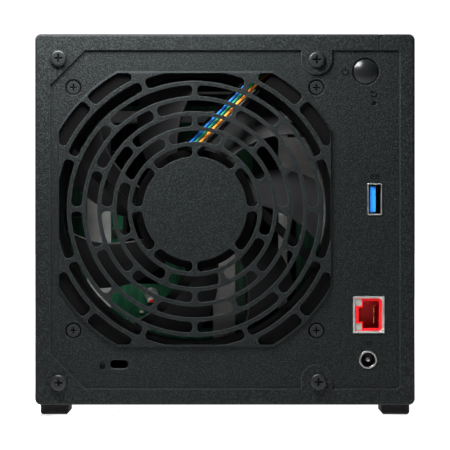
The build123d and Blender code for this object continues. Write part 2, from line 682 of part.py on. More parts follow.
def drive_tray(index):
    x = bay_x(index)
    x0 = x - TRAY_W / 2 - 0.1
    face = slab(plate(x, (FACE_Z0 + FACE_Z1) / 2, FACE_W, FACE_Z1 - FACE_Z0, 0.8), FACE_Y0, FACE_Y1)
    face = chamfer(face.faces().sort_by(Axis.Y)[0].edges(), 0.5)
    face -= block(x - POCKET_W / 2, x + POCKET_W / 2, FACE_Y0 - 1, POCKET_Y, POCKET_Z0, POCKET_Z1)
    face -= block(x - POCKET_W / 2, x + POCKET_W / 2, POCKET_Y - 1, FACE_Y1 - 1.5, POCKET_Z0, SCOOP_Z1)
    for row in range(VENT_ROWS):
        face -= slab(vent_outline(x, VENT_Z + (row + 0.5) * VENT_PITCH), POCKET_Y - 1, FACE_Y1 + 1)
    face -= rod_x(PIN_R, LEVER_PIVOT_Y, LEVER_PIVOT_Z, x - PIN_HALF, x + PIN_HALF)
    tray = block(x0, x0 + TRAY_PLATE, FACE_Y1, TRAY_BACK_Y, TRAY_Z0, TRAY_Z1)
    for window_y in (-74, -38, 34):
        tray -= Pos(x0, window_y, DRIVE_MID_Z) * Rot(0, 90, 0) * extrude(RectangleRounded(70, 20, 6), 5, both=True)
    for sy in (-1, 1):
        for sz in (-1, 1):
            y = DRIVE_BOLT_MID_Y + sy * DRIVE_BOLT_Y / 2
            z = DRIVE_MID_Z + sz * DRIVE_BOLT_Z / 2
            tray -= rod_x(DRIVE_HOLE_R, y, z, x0 - 1, x0 + TRAY_PLATE + 1)
    tray += block(x0, x0 + TRAY_W, FACE_Y1, TRAY_BACK_Y, TRAY_Z0, TRAY_Z0 + TRAY_WALL)
    tray += block(x0, x0 + TRAY_W, FACE_Y1, TRAY_BACK_Y, TRAY_Z1 - TRAY_WALL, TRAY_Z1)
    return face + tray


def tray_lever(index):
    x = bay_x(index)
    half = LEVER_W / 2
    rear_y = LEVER_FRONT_Y + LEVER_T
    lever = block(x - half, x + half, LEVER_FRONT_Y, rear_y, LEVER_Z0, LEVER_PIVOT_Z)
    lever = fillet(lever.edges().filter_by(Axis.Y).group_by(Axis.Z)[0], 2.0)
    lever += rod_x(LEVER_BARREL_R, LEVER_PIVOT_Y, LEVER_PIVOT_Z, x - half, x + half)
    for row in range(VENT_ROWS):
        lever -= slab(vent_outline(x, VENT_Z + row * VENT_PITCH), LEVER_FRONT_Y - 1, rear_y + 1)
    lever -= slab(plate(x, LEVER_Z0 + 7.0, 14, 7, 2.0), LEVER_FRONT_Y - 1, LEVER_FRONT_Y + 0.7)
    return lever - rod_x(PIN_R + RUNNING, LEVER_PIVOT_Y, LEVER_PIVOT_Z, x - half - 1, x + half + 1)


def lever_pin(index):
    x = bay_x(index)
    return rod_x(PIN_R, LEVER_PIVOT_Y, LEVER_PIVOT_Z, x - PIN_HALF, x + PIN_HALF)


# Fan


def strut_outline(width, extra=0.0):
    """One straight strut from beside the hub to the duct wall, in X and Z about the fan axis."""
    dx = STRUT_END[0] - STRUT_START[0]
    dz = STRUT_END[1] - STRUT_START[1]
    length = math.hypot(dx, dz) + extra
    angle = math.degrees(math.atan2(dz, dx))
    return Pos(*STRUT_START) * Rot(0, 0, angle) * Pos(length / 2, 0) * Rectangle(length, width)


def fan_frame():
    frame = slab(plate(0, 0, FAN_SIZE, FAN_SIZE, 4.0), FAN_Y0, FAN_Y1)
    waist = Rectangle(FAN_SIZE + 2, FAN_SIZE + 2) - Circle(DUCT_R + 1.9)
    for sx in (-1, 1):
        for sz in (-1, 1):
            waist -= Pos(sx * FAN_BOLT, sz * FAN_BOLT) * Circle(4.6)
    frame -= slab(waist, FAN_Y0 + 4, FAN_Y1 - 4)
    frame -= slab(Circle(DUCT_R), FAN_Y0 - 1, FAN_Y1 + 1)
    mouth = Pos(0, FAN_Y1, 0) * Rot(90, 0, 0) * extrude(Circle(DUCT_R + 2.0), 4.0, taper=26.5)
    mouth &= slab(Rectangle(FAN_SIZE - 1.6, FAN_SIZE - 1.6), FAN_Y0, FAN_Y1 + 1)
    frame -= mouth
    for sx in (-1, 1):
        for sz in (-1, 1):
            frame -= rod(2.15, sx * FAN_BOLT, sz * FAN_BOLT, FAN_Y0 - 1, FAN_Y1 + 1)
    strut_y0 = FAN_Y1 - STRUT_T
    base = rod(HUB_BASE_R, 0, 0, strut_y0, FAN_Y1 - 0.6)
    base = fillet(base.edges().sort_by(Axis.Y)[-1], 0.6)
    base -= rod(HUB_BASE_R - 2.4, 0, 0, FAN_Y1 - 1.1, FAN_Y1)
    ring_link = slab(Circle(HUB_BASE_R + 2.9) - Circle(HUB_BASE_R - 1), strut_y0, strut_y0 + 1.2)
    frame += base + ring_link
    reach = Circle(DUCT_R + 1)
    for turn in (90, 180, 270):
        outline = (Rot(0, 0, turn) * strut_outline(3.8, 6.0)) & reach
        frame += slab(outline, strut_y0, FAN_Y1 - 1.0)
    wire_bed = strut_outline(WIRE_CHANNEL + 1.6, 6.0)
    frame += slab(wire_bed & reach, strut_y0, WIRE_Y - WIRE_R - 0.05)
    channel_walls = (wire_bed - strut_outline(WIRE_CHANNEL, 8.0)) & reach
    frame += slab(channel_walls, strut_y0, FAN_Y1 - 0.4)
    notch = strut_outline(WIRE_CHANNEL, 22.0)
    frame -= slab(notch - Circle(DUCT_R - 2.4), FAN_Y1 - 3.1, FAN_Y1 + 1)
    frame -= slab(notch - Circle(DUCT_R + 1.9), FAN_Y1 - 4.05, FAN_Y1 + 1)
    frame -= rod(3.25, 0, 0, FAN_Y0, strut_y0 + 2.5)
    return Pos(FAN_X, 0, FAN_Z) * frame


def fan_bearing():
    sleeve = rod(3.2, FAN_X, FAN_Z, FAN_Y0 + 4.5, FAN_Y1 - 2.2)
    return sleeve - rod(SHAFT_R + RUNNING, FAN_X, FAN_Z, FAN_Y0, FAN_Y1 - 3.2)


def fan_stator():
    """Laminated core with four coils, around the bearing sleeve."""
    y0, y1 = FAN_Y0 + 6.5, FAN_Y1 - 5.5
    core = Circle(7.0)
    for turn in range(4):
        core += Rot(0, 0, 90 * turn) * Pos(10, 0) * Rectangle(10, 4.5)
    poles = Circle(16.6) - Circle(14.2)
    for turn in range(4):
        poles -= Rot(0, 0, 45 + 90 * turn) * Pos(15, 0) * Rectangle(8, 2.5)
    stator = slab((core + poles) - Circle(3.2), y0, y1)
    for turn in range(4):
        coil = slab(Rot(0, 0, 90 * turn) * Pos(10.6, 0) * RectangleRounded(5.0, 9.5, 1.5), y0 - 0.5, y1 + 0.5)
        stator += coil
    return Pos(FAN_X, 0, FAN_Z) * stator


def fan_magnet():
    ring = slab(Circle(18.7) - Circle(17.1), FAN_Y0 + 4, FAN_Y1 - 6.5)
    return Pos(FAN_X, 0, FAN_Z) * ring


def fan_shaft():
    return rod(SHAFT_R, FAN_X, FAN_Z, FAN_Y0 + 3.0, FAN_Y1 - 3.4)


BLADE_STATIONS = ((19.5, 41.0, 33.0), (30.2, 32.0, 31.5), (41.3, 24.0, 30.5), (48.0, 18.5, 30.0), (58.5, 9.8, 29.5))
BLADE_Y0 = 82.6
BLADE_Y1 = 98.6


def fan_blade():
    """Loft through flat sections at rising radius: (radius, edge angle, swept angle)."""
    sections = []
    thick = 1.3
    rise = BLADE_Y1 - BLADE_Y0
    mid_y = (BLADE_Y0 + BLADE_Y1) / 2
    for radius, edge, sweep_angle in BLADE_STATIONS:
        middle = 180 - (edge - sweep_angle / 2)
        chord = 2 * radius * math.sin(math.radians(sweep_angle / 2))
        drop = rise * (0.86 + 0.14 * 20 / radius)
        slope = math.atan2(drop, chord)
        length = math.hypot(chord, drop)
        outward = Vector(math.cos(math.radians(middle)), 0, math.sin(math.radians(middle)))
        around = Vector(-math.sin(math.radians(middle)), 0, math.cos(math.radians(middle)))
        along = around * math.cos(slope) + Vector(0, 1, 0) * math.sin(slope)
        plane = Plane(origin=outward * radius + Vector(0, mid_y, 0), x_dir=along, z_dir=outward)
        sections.append(plane * RectangleRounded(length, thick, 0.45 * thick))
    return loft(sections)


def fan_impeller():
    hub = rod(ROTOR_R, 0, 0, FAN_Y0 + 1.0, FAN_Y1 - 5.4)
    hub = fillet(hub.edges().sort_by(Axis.Y)[0], 1.8)
    hub -= rod(18.7, 0, 0, FAN_Y0 + 3.0, FAN_Y1)
    boss = rod(4.5, 0, 0, FAN_Y0 + 3.0, FAN_Y0 + 4.2)
    rim = slab(Circle(BLADE_TIP_R) - Circle(19.6), FAN_Y0, FAN_Y1 - 5.4)
    blade = fan_blade() & rim
    rotor = hub + boss
    for index in range(BLADE_COUNT):
        rotor += Rot(0, index * 360 / BLADE_COUNT, 0) * blade
    rotor -= rod(SHAFT_R, 0, 0, FAN_Y0 + 3.0, FAN_Y0 + 6)
    return Pos(FAN_X, 0, FAN_Z) * rotor


# Fan lead: four insulated wires side by side from the motor, through the frame, to the fan plug
WIRE_NAMES = ("fan_wire_blue", "fan_wire_green", "fan_wire_yellow", "fan_wire_black")
WIRE_PITCH = 1.5
WIRE_DIVE_START = 39.5
WIRE_DIVE_END = 47.5
WIRE_UNDER_Y = 95.0
PLUG_PITCH = 2.54
PLUG_FACE_Y = 80.0
PLUG_X = -63.0
PLUG_Z = 146.0


def bundle_line():
    """Middle line of the four wires: along the strut, down through the notch, across and into the plug."""
    start = Vector(FAN_X + STRUT_START[0], WIRE_Y, FAN_Z + STRUT_START[1])
    along = Vector(STRUT_END[0] - STRUT_START[0], 0, STRUT_END[1] - STRUT_START[1]).normalized()
    start += along * 1.5
    dive_end = start + along * WIRE_DIVE_END
    return [
        start,
        start + along * WIRE_DIVE_START,
        Vector(dive_end.X, WIRE_UNDER_Y, dive_end.Z),
        Vector(-42.0, WIRE_UNDER_Y - 2, 153.5),
        Vector(PLUG_X, PLUG_FACE_Y + 8.5, PLUG_Z),
        Vector(PLUG_X, PLUG_FACE_Y, PLUG_Z),
    ]


def side_step(a, b):
    """Unit step across the run from a to b, in X and Z."""
    run = b - a
    return Vector(run.Z, 0, -run.X).normalized()


def wire_route(index):
    """Corner points of one wire, kept beside its neighbours round each corner."""
    line = bundle_line()
    side = 1.5 - index
    points = []
    for number, point in enumerate(line[:-2]):
        step_out = side_step(point, line[number + 1])
        step_in = side_step(line[number - 1], point) if number else step_out
        mitre = (step_in + step_out).normalized()
        points.append(point + mitre * (side * WIRE_PITCH / mitre.dot(step_out)))
    for point in line[-2:]:
        points.append(point + Vector(0, 0, side * PLUG_PITCH))
    return points


def wire_radii(points):
    """Arc radius at each corner: 0.45 of the shorter run over the tangent of half the turn."""
    radii = []
    for before, corner, after in zip(points, points[1:], points[2:]):
        run_in = corner - before
        run_out = after - corner
        turn = run_in.get_angle(run_out)
        radii.append(0.45 * min(run_in.length, run_out.length) / math.tan(math.radians(turn / 2)))
    return radii


def fan_wire(index):
    points = wire_route(index)
    radii = wire_radii(points)
    path = FilletPolyline(*points, radius=radii)
    start = Plane(origin=path @ 0, z_dir=path % 0)
    wire = sweep(start * Circle(WIRE_R), path=path)
    print("wire radii", [round(radius, 1) for radius in radii])
    print("wire length", round(path.length, 1), "share", round(wire.volume / (math.pi * WIRE_R**2 * path.length), 4))
    return wire


def fan_plug():
    """Plug housing on the wires and the board header under it."""
    housing = block(PLUG_X - 3.0, PLUG_X + 2.2, PLUG_FACE_Y - 9, PLUG_FACE_Y, PLUG_Z - 5.4, PLUG_Z + 5.4)
    header = block(BOARD_X1, PLUG_X + 2.2, PLUG_FACE_Y - 13, PLUG_FACE_Y - 9, PLUG_Z - 5.4, PLUG_Z + 5.4)
    return housing, header


os.makedirs("parts", exist_ok=True)
save("outer_cover", outer_cover())
save("side_panel", side_panel())
save("rear_panel", rear_panel())
save("cover_screws", *cover_screws())
save("fan_screws", *fan_screws())
save("rubber_feet", *rubber_feet())
save("front_bezel", front_bezel())
save("led_light_pipes", *led_light_pipes())
save("backup_button", backup_button())
save("power_button", power_button())
save("reset_button", reset_button())
save("mainboard", mainboard())
save("switch_board", switch_board())
save("front_io_board", front_io_board())
save("tact_switches", *tact_switches())
save("board_standoffs", *board_standoffs())
save("board_screws", *board_screws())
save("mainboard_chips", *mainboard_chips())
save("heatsink", heatsink())
save("capacitors", *capacitors())
save("coin_cell", coin_cell())
save("lan_shield", lan_shield())
save("lan_insert", lan_insert())
save("lan_contacts", *lan_contacts())
save("lan_leds", *lan_leds())
save("usb_shells", *usb_shells())
save("usb_tongues", *usb_tongues())
save("dc_jack_body", dc_jack_body())
save("dc_jack_sleeve", dc_jack_sleeve())
save("dc_jack_pin", dc_jack_pin())
save("base_pan", base_pan())
save("cage_side_walls", *cage_side_walls())
save("cage_shelves", *cage_shelves())
save("tray_guides", *tray_guides())
save("backplane_board", backplane_board())
save("backplane_bracket", backplane_bracket())
save("sata_sockets", *sata_sockets())
save("fan_frame", fan_frame())
save("fan_bearing", fan_bearing())
save("fan_stator", fan_stator())
save("fan_magnet", fan_magnet())
save("fan_shaft", fan_shaft())
save("fan_impeller", fan_impeller())
save("fan_plug", *fan_plug())
for wire_index, wire_name in enumerate(WIRE_NAMES):
    save(wire_name, fan_wire(wire_index))
for bay in range(BAY_COUNT):
    save(f"drive_tray_{bay + 1}", drive_tray(bay))
    save(f"tray_lever_{bay + 1}", tray_lever(bay))
    save(f"lever_pin_{bay + 1}", lever_pin(bay))
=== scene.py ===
"""Looks of a desktop network-storage enclosure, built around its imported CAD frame."""

import json
import math
import random

import bpy
import bmesh
from mathutils import Matrix, Vector


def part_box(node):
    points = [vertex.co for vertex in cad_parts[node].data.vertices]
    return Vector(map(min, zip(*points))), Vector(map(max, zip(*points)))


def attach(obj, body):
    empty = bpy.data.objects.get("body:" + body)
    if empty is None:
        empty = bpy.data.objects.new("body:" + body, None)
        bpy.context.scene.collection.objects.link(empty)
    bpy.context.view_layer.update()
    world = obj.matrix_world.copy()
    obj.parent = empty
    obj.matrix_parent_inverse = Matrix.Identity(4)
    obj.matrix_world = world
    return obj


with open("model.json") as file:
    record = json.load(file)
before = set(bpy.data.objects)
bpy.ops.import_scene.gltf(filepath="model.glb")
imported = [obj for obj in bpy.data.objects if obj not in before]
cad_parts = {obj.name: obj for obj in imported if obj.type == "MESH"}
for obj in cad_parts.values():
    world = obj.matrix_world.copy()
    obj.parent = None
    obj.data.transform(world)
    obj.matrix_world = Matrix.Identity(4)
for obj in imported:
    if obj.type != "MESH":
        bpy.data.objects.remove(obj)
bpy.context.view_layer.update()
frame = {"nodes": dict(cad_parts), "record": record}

NODES = frame["nodes"]
MM = 0.001
PAINT_SHEEN = 0.10
random.seed(11)

FLANGE_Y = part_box("outer_cover")[1][1]
PANEL_Y = FLANGE_Y - 1.0 * MM
FAN_LOW, FAN_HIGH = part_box("fan_frame")
FAN_X = (FAN_LOW[0] + FAN_HIGH[0]) / 2
FAN_Z = (FAN_LOW[2] + FAN_HIGH[2]) / 2
FAN_BOLT = 52.5
FAN_SCREWS = [(FAN_X / MM + i * FAN_BOLT, FAN_Z / MM + j * FAN_BOLT) for i in (-1, 1) for j in (-1, 1)]
COVER_SCREWS = ((71.8, 154.5), (71.8, 14.5), (-39.6, 153.9), (-40.3, 14.9))
NETWORK_X, NETWORK_Z = -62.0, 43.85
INK_THICKNESS = 0.03 * MM


# ---------------------------------------------------------------- materials


class Shader:
    """A Principled material with short helpers for its node network."""

    def __init__(self, name):
        self.material = bpy.data.materials.new(name)
        self.material.use_nodes = True
        self.tree = self.material.node_tree
        self.bsdf = next(n for n in self.tree.nodes if n.type == "BSDF_PRINCIPLED")
        self.coords = self.tree.nodes.new("ShaderNodeTexCoord").outputs["Object"]

    def node(self, kind, **inputs):
        made = self.tree.nodes.new(kind)
        for name, value in inputs.items():
            made.inputs[name.replace("_", " ")].default_value = value
        return made

    def link(self, source, target):
        self.tree.links.new(source, target)

    def stretched(self, scale):
        """Coordinates scaled per axis, for brushed or drawn grain."""
        mapping = self.node("ShaderNodeMapping", Scale=scale)
        self.link(self.coords, mapping.inputs["Vector"])
        return mapping.outputs["Vector"]

    def noise(self, scale, detail=2.0, rough=0.5, coords=None):
        made = self.node("ShaderNodeTexNoise", Scale=scale, Detail=detail, Roughness=rough)
        self.link(coords or self.coords, made.inputs["Vector"])
        return made.outputs["Fac"]

    def cells(self, scale):
        made = self.node("ShaderNodeTexVoronoi", Scale=scale)
        self.link(self.coords, made.inputs["Vector"])
        return made.outputs["Distance"]

    def ramp(self, factor, low, high, start=0.0, end=1.0):
        """Map a factor from start..end to low..high."""
        made = self.node("ShaderNodeMapRange")
        made.inputs["From Min"].default_value = start
        made.inputs["From Max"].default_value = end
        made.inputs["To Min"].default_value = low
        made.inputs["To Max"].default_value = high
        self.link(factor, made.inputs["Value"])
        return made.outputs["Result"]

    def math(self, operation, a, b):
        made = self.tree.nodes.new("ShaderNodeMath")
        made.operation = operation
        for socket, value in zip(made.inputs, (a, b)):
            if isinstance(value, (int, float)):
                socket.default_value = value
            else:
                self.link(value, socket)
        return made.outputs[0]

    def mix(self, factor, a, b):
        made = self.tree.nodes.new("ShaderNodeMix")
        made.data_type = "RGBA"
        for socket, value in ((made.inputs[0], factor), (made.inputs[6], a), (made.inputs[7], b)):
            if isinstance(value, (int, float)):
                socket.default_value = value
            elif isinstance(value, (tuple, list)):
                socket.default_value = (*value[:3], 1.0)
            else:
                self.link(value, socket)
        return made.outputs[2]

    def edges(self, radius):
        """(rounded normal, mask that is 1 on sharp edges)."""
        bevel = self.node("ShaderNodeBevel", Radius=radius)
        bevel.samples = 4
        normal = self.tree.nodes.new("ShaderNodeNewGeometry").outputs["Normal"]
        dot = self.tree.nodes.new("ShaderNodeVectorMath")
        dot.operation = "DOT_PRODUCT"
        self.link(bevel.outputs["Normal"], dot.inputs[0])
        self.link(normal, dot.inputs[1])
        return bevel.outputs["Normal"], self.ramp(dot.outputs["Value"], 1.0, 0.0, 0.72, 0.99)

    def bump(self, height, strength, distance, normal=None):
        made = self.node("ShaderNodeBump", Strength=strength, Distance=distance)
        self.link(height, made.inputs["Height"])
        if normal is not None:
            self.link(normal, made.inputs["Normal"])
        return made.outputs["Normal"]

    def finish(self, color, rough, normal=None, metallic=0.0, **constants):
        for socket, value in (("Base Color", color), ("Roughness", rough), ("Normal", normal)):
            if value is None:
                continue
            if isinstance(value, (int, float)):
                self.bsdf.inputs[socket].default_value = value
            elif isinstance(value, (tuple, list)):
                self.bsdf.inputs[socket].default_value = (*value[:3], 1.0)
            else:
                self.link(value, self.bsdf.inputs[socket])
        self.bsdf.inputs["Metallic"].default_value = metallic
        for name, value in constants.items():
            self.bsdf.inputs[name.replace("_", " ")].default_value = value
        return self.material


def tint(color, factor):
    return tuple(min(1.0, c * factor) for c in color)


def powder_coat(name, color):
    """Fine-textured powder paint: pebbled bump, speckle whose bright specks are painted glints, faint
    mottling, and lighter edges, partly rubbed and partly painted highlights.
    """
    s = Shader(name)
    pebble = s.noise(1900, 3, 0.65)
    speck = s.noise(1800, 1, 0.6)
    broad = s.noise(34, 3, 0.5)
    height = s.math("ADD", pebble, s.math("MULTIPLY", speck, 0.6))
    rounded, edge = s.edges(0.0004)
    normal = s.bump(height, 0.7, 0.00018, rounded)
    base = s.mix(s.ramp(broad, 0.0, 1.0, 0.3, 0.7), tint(color, 0.93), tint(color, 1.06))
    # Dark and bright specks vary the coat's tone; the bright specks are also painted glints, standing in
    # for light caught by the pebbled coat.
    base = s.mix(s.ramp(speck, 0.0, 1.0, 0.34, 0.56), tint(color, 0.35), base)
    base = s.mix(s.ramp(speck, 0.0, 1.0, 0.52, 0.76), base, tint(color, 3.2))
    # Lighter sharp edges: partly rubbed paint, partly painted highlights on every sharp edge.
    base = s.mix(s.math("MULTIPLY", edge, 0.8), base, tint(color, 8.0))
    rough = s.ramp(height, 0.66, 0.48, 0.45, 1.0)
    return s.finish(base, rough, normal, Specular_IOR_Level=PAINT_SHEEN)


def moulded(name, color, rough=0.5, grain=2400, strength=0.25, specular=0.5, radius=0.0002):
    """Moulded plastic: fine spark-eroded grain, slight sheen changes, lighter worn edges."""
    s = Shader(name)
    fine = s.noise(grain, 2, 0.6)
    broad = s.noise(55, 3, 0.5)
    rounded, edge = s.edges(radius)
    normal = s.bump(fine, strength, 0.0001, rounded)
    base = s.mix(broad, tint(color, 0.9), tint(color, 1.1))
    base = s.mix(s.math("MULTIPLY", edge, 0.25), base, tint(color, 2.2))
    gloss = s.ramp(broad, rough - 0.06, rough + 0.08, 0.3, 0.7)
    return s.finish(base, gloss, normal, Specular_IOR_Level=specular)


def galvanised(name, color):
    """Zinc-coated steel: soft crystal patches and rolling lines."""
    s = Shader(name)
    patches = s.cells(170)
    lines = s.noise(900, 2, 0.6, s.stretched((1.0, 1.0, 0.05)))
    rounded, edge = s.edges(0.0002)
    normal = s.bump(lines, 0.12, 0.0001, rounded)
    base = s.mix(patches, tint(color, 0.8), tint(color, 1.1))
    base = s.mix(s.math("MULTIPLY", edge, 0.3), base, tint(color, 1.4))
    return s.finish(base, s.ramp(lines, 0.36, 0.52, 0.3, 0.7), normal, metallic=0.1)


def plated(name, color, rough, lines_scale=(1.0, 1.0, 1.0), radius=0.00015):
    """Bright plated or turned metal with faint tool lines."""
    s = Shader(name)
    lines = s.noise(2600, 2, 0.6, s.stretched(lines_scale))
    smudge = s.noise(160, 3, 0.5)
    rounded, edge = s.edges(radius)
    normal = s.bump(lines, 0.1, 0.00006, rounded)
    base = s.mix(smudge, tint(color, 0.88), tint(color, 1.06))
    base = s.mix(s.math("MULTIPLY", edge, 0.3), base, tint(color, 1.25))
    return s.finish(base, s.ramp(smudge, rough - 0.04, rough + 0.1, 0.3, 0.7), normal, metallic=1.0)


def black_zinc(name, color):
    """Black-plated screw: dark satin faces, and bright rims round the head and the cross that are partly
    worn plating and partly painted highlights.
    """
    s = Shader(name)
    fine = s.noise(2200, 3, 0.6)
    rounded, edge = s.edges(0.00012)
    normal = s.bump(fine, 0.15, 0.00006, rounded)
    base = s.mix(fine, tint(color, 0.8), tint(color, 1.2))
    # Bright sharp edges: partly worn plating, partly painted highlights round the head and the cross.
    base = s.mix(s.math("MULTIPLY", edge, 0.6), base, tint(color, 5.0))
    return s.finish(base, s.ramp(fine, 0.34, 0.46, 0.3, 0.7), normal, metallic=0.15, Specular_IOR_Level=0.2)


def solder_mask(name, color):
    """Circuit board: glossy mask over faint copper tracks."""
    s = Shader(name)
    tracks = s.noise(420, 0, 0.5, s.stretched((1.0, 0.35, 0.12)))
    fine = s.noise(1900, 2, 0.6)
    line = s.ramp(tracks, 0.0, 1.0, 0.52, 0.56)
    normal = s.bump(line, 0.25, 0.00008)
    base = s.mix(line, color, tint(color, 1.7))
    base = s.mix(s.ramp(fine, 0.0, 0.25, 0.4, 0.7), base, tint(color, 0.6))
    return s.finish(base, s.ramp(fine, 0.28, 0.4, 0.3, 0.7), normal)


def rubber(name, color):
    s = Shader(name)
    fine = s.noise(1700, 4, 0.7)
    dust = s.noise(90, 3, 0.6)
    rounded, edge = s.edges(0.0004)
    normal = s.bump(fine, 0.4, 0.00015, rounded)
    base = s.mix(s.ramp(dust, 0.0, 0.5, 0.45, 0.8), color, tint(color, 1.9))
    base = s.mix(s.math("MULTIPLY", edge, 0.3), base, tint(color, 2.0))
    return s.finish(base, s.ramp(fine, 0.78, 0.92, 0.3, 0.7), normal, Specular_IOR_Level=0.3)


def insulation(name, color):
    """Wire insulation: soft PVC sheen with small creases along its length."""
    s = Shader(name)
    creases = s.noise(1300, 3, 0.6)
    broad = s.noise(130, 2, 0.5)
    normal = s.bump(creases, 0.15, 0.0001)
    base = s.mix(broad, tint(color, 0.86), tint(color, 1.12))
    return s.finish(base, s.ramp(creases, 0.34, 0.46, 0.3, 0.7), normal, Specular_IOR_Level=0.2)


def milky(name, color, rough=0.25):
    s = Shader(name)
    fine = s.noise(900, 2, 0.6)
    normal = s.bump(fine, 0.1, 0.00008)
    base = s.mix(fine, tint(color, 0.9), tint(color, 1.05))
    return s.finish(base, s.ramp(fine, rough, rough + 0.12, 0.3, 0.7), normal, Subsurface_Weight=0.15)


def printed_ink(name, color):
    """Pad-printed ink, slightly uneven at the edges of the dots."""
    s = Shader(name)
    fine = s.noise(2600, 3, 0.6)
    base = s.mix(s.ramp(fine, 0.0, 0.4, 0.4, 0.7), color, tint(color, 0.7))
    gloss = s.ramp(fine, 0.5, 0.62, 0.3, 0.7)
    return s.finish(base, gloss, s.bump(fine, 0.1, 0.00005), Specular_IOR_Level=0.03)


def lit_lens(name, color, glow):
    """Small coloured lamp lens with a soft glow."""
    s = Shader(name)
    fine = s.noise(1500, 2, 0.5)
    base = s.mix(fine, tint(color, 0.8), tint(color, 1.1))
    s.bsdf.inputs["Emission Color"].default_value = (*color, 1.0)
    s.bsdf.inputs["Emission Strength"].default_value = glow
    return s.finish(base, 0.2, s.bump(fine, 0.08, 0.00005))


MATERIALS = {
    "cover_paint": powder_coat("cover_paint", (0.0056, 0.0070, 0.0073)),
    # Near-black ink for the printed marks; the same material makes the painted shadows in the screw
    # countersinks and cross recesses.
    "dark_ink_and_shade": printed_ink("dark_ink_and_shade", (0.0015, 0.0015, 0.0015)),
    "pale_ink": printed_ink("pale_ink", (0.42, 0.43, 0.43)),
    "label_film": printed_ink("label_film", (0.50, 0.51, 0.52)),
    "red_lens": lit_lens("red_lens", (0.75, 0.02, 0.01), 0.25),
    "front_plastic": moulded("front_plastic", (0.018, 0.019, 0.020), 0.48, 2000, 0.35),
    "tray_plastic": moulded("tray_plastic", (0.013, 0.014, 0.015), 0.5, 2000, 0.3),
    "lever_plastic": moulded("lever_plastic", (0.032, 0.034, 0.036), 0.4, 2600, 0.2),
    # The fan plastic is nearly black, darker than real plastic: painted shade for the shadow on the fan
    # frame behind the grille.
    "fan_plastic": moulded("fan_plastic", (0.0018, 0.0018, 0.0019), 0.55, 1500, 0.22, 0.05),
    "rotor_plastic": moulded("rotor_plastic", (0.014, 0.014, 0.015), 0.42, 1500, 0.15, 0.2),
    "foot_rubber": rubber("foot_rubber", (0.005, 0.005, 0.005)),
    "black_screw": black_zinc("black_screw", (0.010, 0.0115, 0.012)),
    "zinc_steel": galvanised("zinc_steel", (0.66, 0.67, 0.65)),
    "plain_steel": plated("plain_steel", (0.52, 0.52, 0.52), 0.3),
    "board_green": solder_mask("board_green", (0.009, 0.090, 0.040)),
    "chip_black": moulded("chip_black", (0.012, 0.012, 0.013), 0.55, 3000, 0.3),
    "sink_aluminium": plated("sink_aluminium", (0.62, 0.63, 0.65), 0.35, (1.0, 0.05, 1.0)),
    "shield_steel": plated("shield_steel", (0.66, 0.66, 0.64), 0.32, (1.0, 0.1, 1.0)),
    "socket_red": moulded("socket_red", (0.62, 0.006, 0.010), 0.34, 1800, 0.12, 0.3),
    "contact_gold": plated("contact_gold", (0.83, 0.60, 0.26), 0.22),
    "window_clear": milky("window_clear", (0.30, 0.31, 0.27)),
    "light_pipe_clear": milky("light_pipe_clear", (0.55, 0.60, 0.62)),
    "usb_blue": moulded("usb_blue", (0.02, 0.25, 0.90), 0.3, 1800, 0.12),
    "jack_black": moulded("jack_black", (0.010, 0.010, 0.011), 0.45, 2000, 0.2),
    "jack_chrome": plated("jack_chrome", (0.22, 0.22, 0.22), 0.28),
    "button_black": moulded("button_black", (0.006, 0.0066, 0.007), 0.26, 3000, 0.05, 0.2),
    "plunger_white": moulded("plunger_white", (0.55, 0.55, 0.53), 0.4, 2000, 0.15),
    "winding_copper": plated("winding_copper", (0.70, 0.30, 0.13), 0.35, (1.0, 0.06, 1.0)),
    "magnet_grey": moulded("magnet_grey", (0.05, 0.05, 0.055), 0.6, 1500, 0.4),
    "bearing_brass": plated("bearing_brass", (0.72, 0.55, 0.24), 0.3),
    "socket_black": moulded("socket_black", (0.012, 0.012, 0.013), 0.48, 2200, 0.2),
    "plug_white": moulded("plug_white", (0.62, 0.61, 0.56), 0.42, 2000, 0.15),
    "wire_blue": insulation("wire_blue", (0.005, 0.13, 0.48)),
    "wire_green": insulation("wire_green", (0.005, 0.17, 0.10)),
    "wire_yellow": insulation("wire_yellow", (0.70, 0.23, 0.02)),
    "wire_black": insulation("wire_black", (0.010, 0.010, 0.010)),
}


def dress_cad_nodes():
    """Give every CAD node the material of its slot."""
    for part in frame["record"]["subparts"]:
        node = NODES[part["node"]]
        node.data.materials.clear()
        node.data.materials.append(MATERIALS[part["material_slot"]])


# ---------------------------------------------------------------- mesh helpers


def new_piece(name, mesh, material, body="chassis"):
    piece = bpy.data.objects.new(name, mesh)
    bpy.context.scene.collection.objects.link(piece)
    mesh.materials.append(MATERIALS[material])
    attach(piece, body)
    return piece


def mesh_from(bm, name):
    mesh = bpy.data.meshes.new(name)
    bmesh.ops.recalc_face_normals(bm, faces=bm.faces)
    bm.to_mesh(mesh)
    bm.free()
    return mesh


def add_prism(bm, outline, y0, y1):
    """Closed prism along Y from an outline of (x, z) points."""
    back = [bm.verts.new((x, y0, z)) for x, z in outline]
    front = [bm.verts.new((x, y1, z)) for x, z in outline]
    bm.faces.new(back)
    bm.faces.new(list(reversed(front)))
    count = len(outline)
    for index in range(count):
        after = (index + 1) % count
        bm.faces.new((back[index], front[index], front[after], back[after]))


